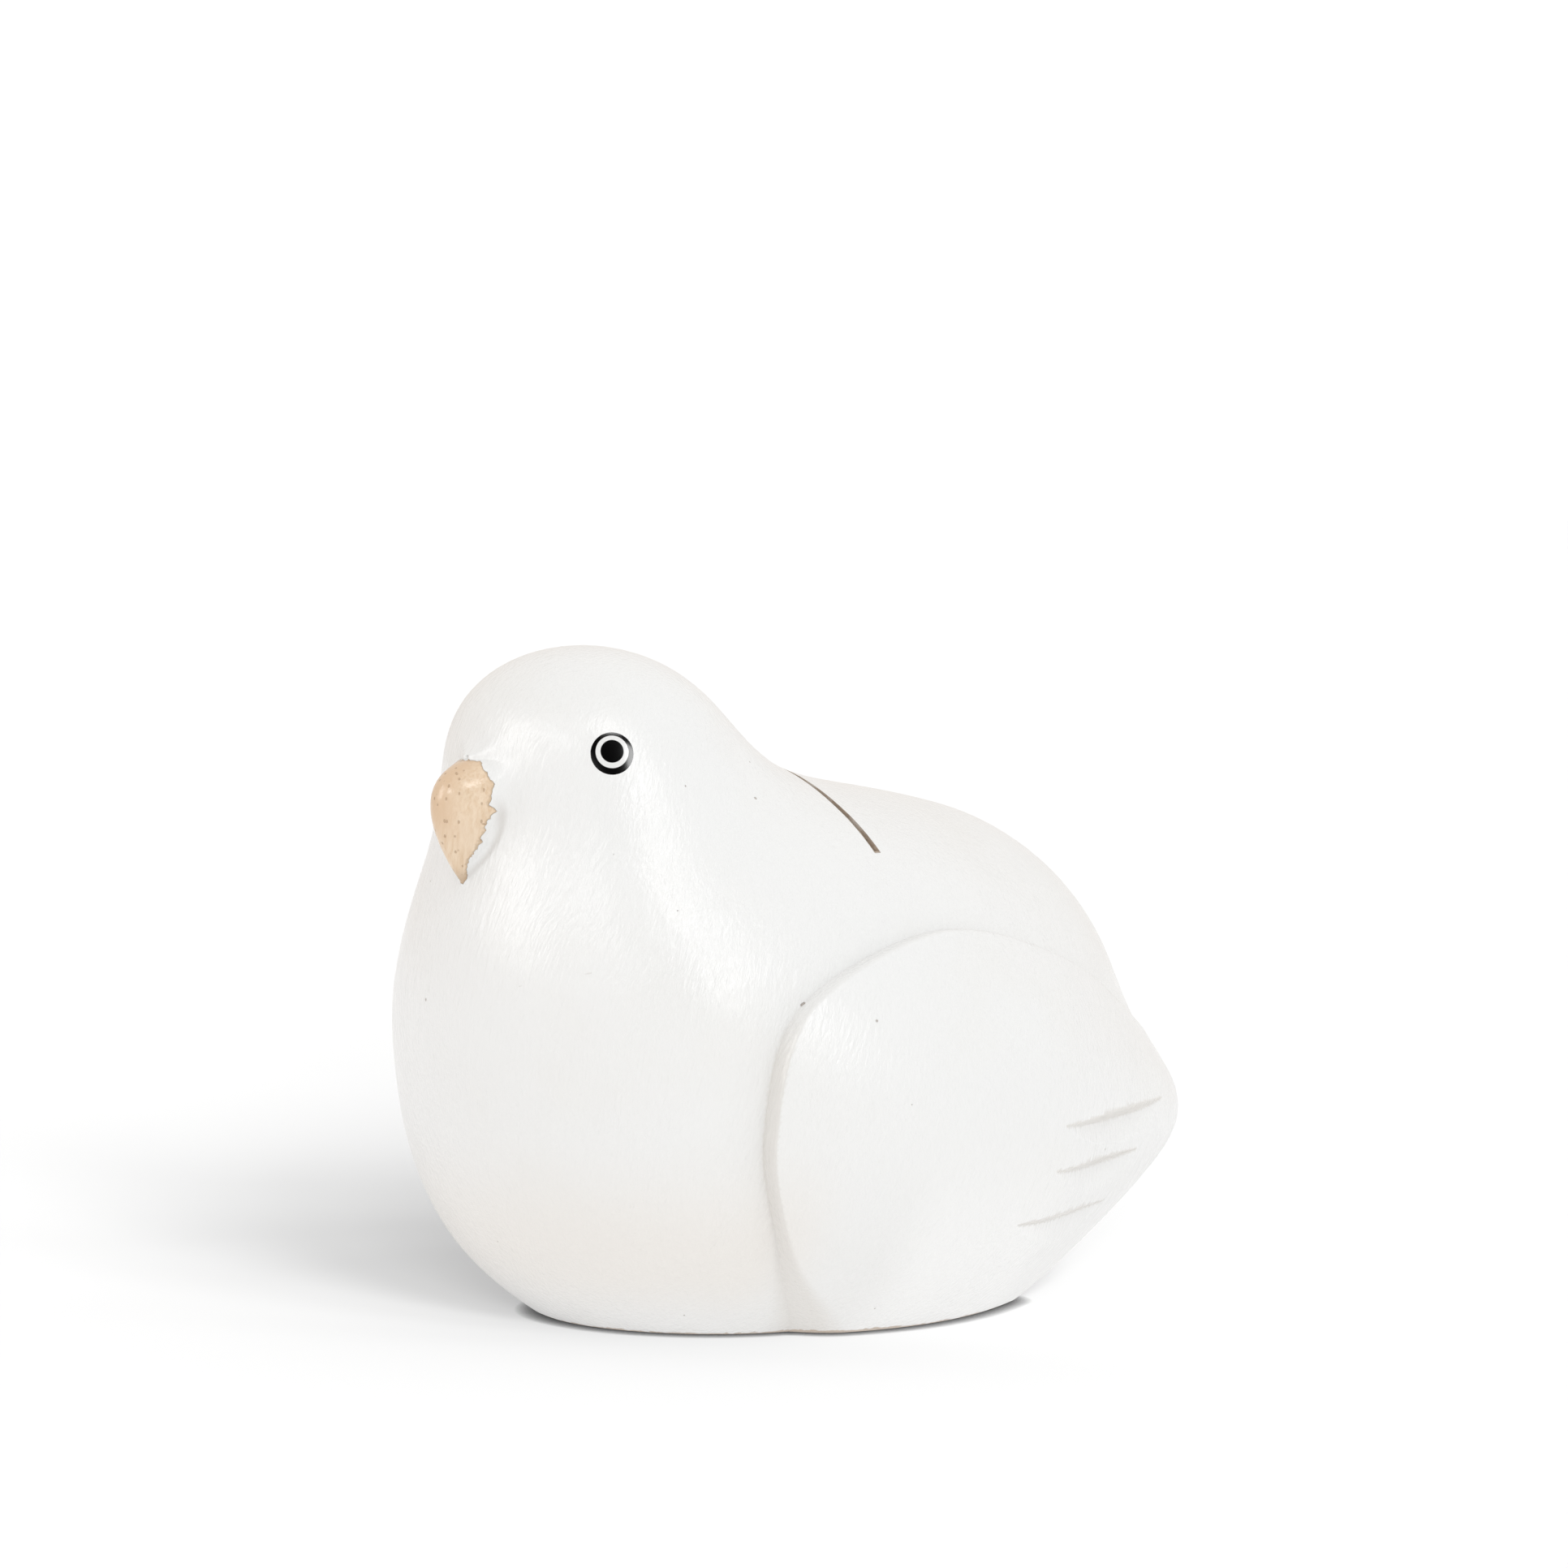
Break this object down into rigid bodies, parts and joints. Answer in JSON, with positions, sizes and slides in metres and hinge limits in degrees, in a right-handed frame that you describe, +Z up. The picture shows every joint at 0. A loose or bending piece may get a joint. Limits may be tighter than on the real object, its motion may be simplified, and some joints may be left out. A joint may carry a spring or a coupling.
{
  "type": "wooden pigeon figurine",
  "caption": "Small carved wooden pigeon with a plump white-painted body, low-relief wings, painted eyes, a bare wood beak and a card slot sawn across the back.",
  "frame": {"origin": "middle of the footprint of the whole bird, on the floor that it stands on", "axes": "+Z up, beak towards -Y, the bird's left side towards +X, symmetric about X = 0"},
  "size_m": [0.077, 0.0995, 0.0757],
  "materials": {
    "painted_wood": "white paint with a soft sheen over carved wood, bare wood on the beak, in the slot and on the underside"
  },
  "bodies": {
    "root": {"pigeon": "painted_wood"}
  },
  "joints": []
}
